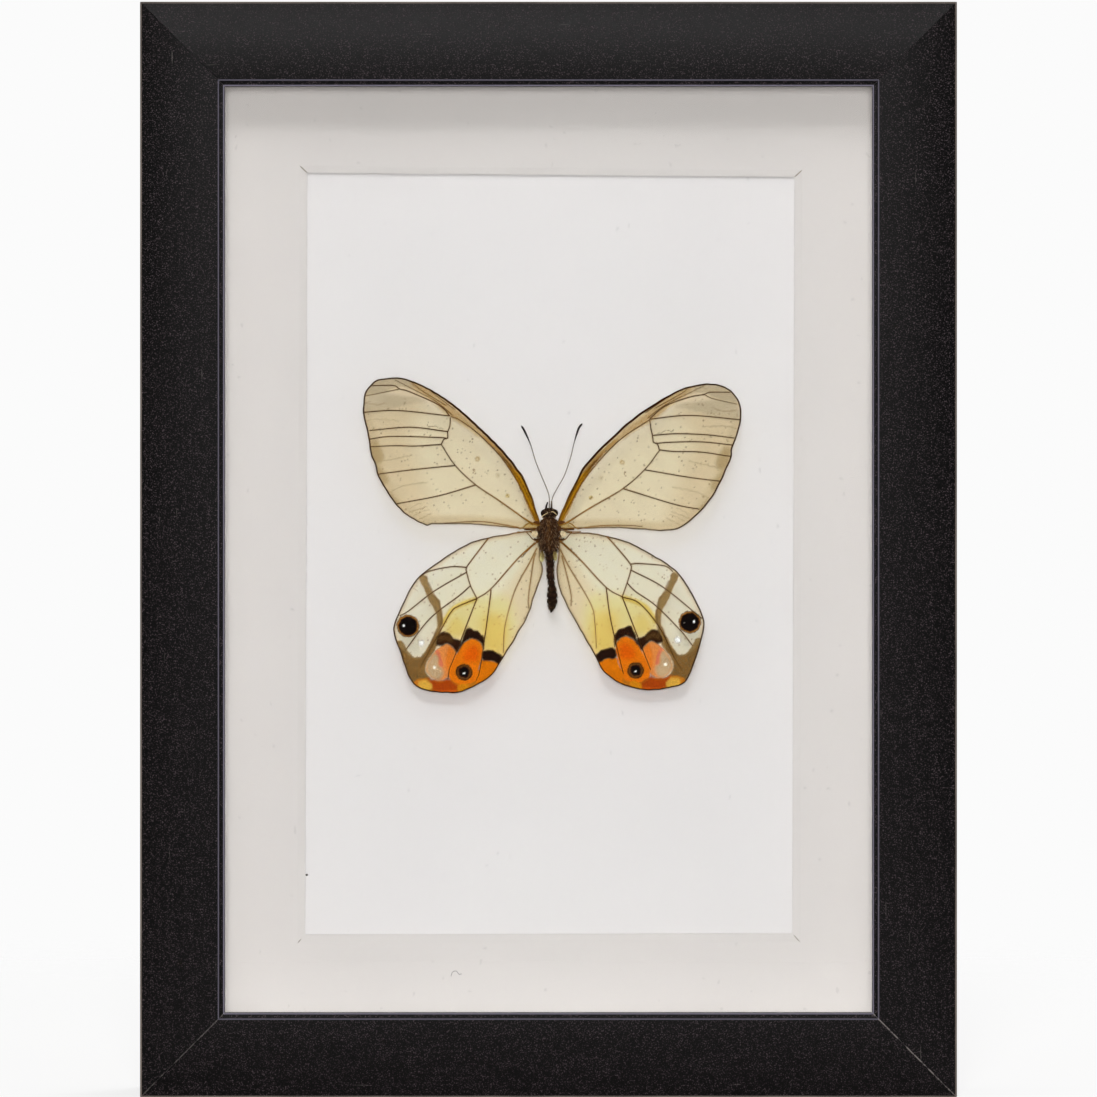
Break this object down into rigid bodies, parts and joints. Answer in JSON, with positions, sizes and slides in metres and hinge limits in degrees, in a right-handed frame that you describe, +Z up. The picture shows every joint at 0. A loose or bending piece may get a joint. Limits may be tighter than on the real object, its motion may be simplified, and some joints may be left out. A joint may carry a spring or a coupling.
{
  "type": "framed butterfly specimen",
  "caption": "Deep black box frame with a glass front and bevelled white mat, holding a clear-winged butterfly spread flat on a pin.",
  "frame": {"origin": "on the ground below the middle of the frame, halfway between its front and back faces", "axes": "+Z up along the frame's height, +X to the right seen from the front, +Y from the front to the back"},
  "size_m": [0.15, 0.035, 0.2012],
  "materials": {
    "black_foiled_wood": "black foil with a fine pressed grain, satin",
    "clear_glass": "clear picture glass, polished",
    "white_foamboard": "plain white board, matt",
    "warm_white_mat": "warm white mat board with a cream core, matt",
    "cool_white_card": "smooth white card, matt",
    "brown_hardboard": "bare brown hardboard",
    "zinc_steel": "zinc-plated, satin",
    "brown_body": "dry chitin with fine brown hair",
    "dark_antenna": "dry dark chitin",
    "clear_wing": "thin amber-tinted membrane, half clear, with brown veins and eyespots",
    "pin_steel": "polished pin wire"
  },
  "bodies": {
    "root": {"rail_bottom": "black_foiled_wood", "rail_right": "black_foiled_wood", "rail_top": "black_foiled_wood", "rail_left": "black_foiled_wood", "glass_pane": "clear_glass", "spacer_left": "white_foamboard", "spacer_right": "white_foamboard", "spacer_top": "white_foamboard", "spacer_bottom": "white_foamboard", "mat_board": "warm_white_mat", "backing_card": "cool_white_card", "back_board": "brown_hardboard", "tab_bottom_left": "zinc_steel", "tab_bottom_right": "zinc_steel", "tab_right": "zinc_steel", "tab_top_right": "zinc_steel", "tab_top_left": "zinc_steel", "tab_left": "zinc_steel", "sawtooth_hanger": "zinc_steel", "butterfly_body": "brown_body", "antenna_left": "dark_antenna", "antenna_right": "dark_antenna", "forewing_left": "clear_wing", "forewing_right": "clear_wing", "hindwing_left": "clear_wing", "hindwing_right": "clear_wing", "insect_pin": "pin_steel"}
  },
  "joints": []
}
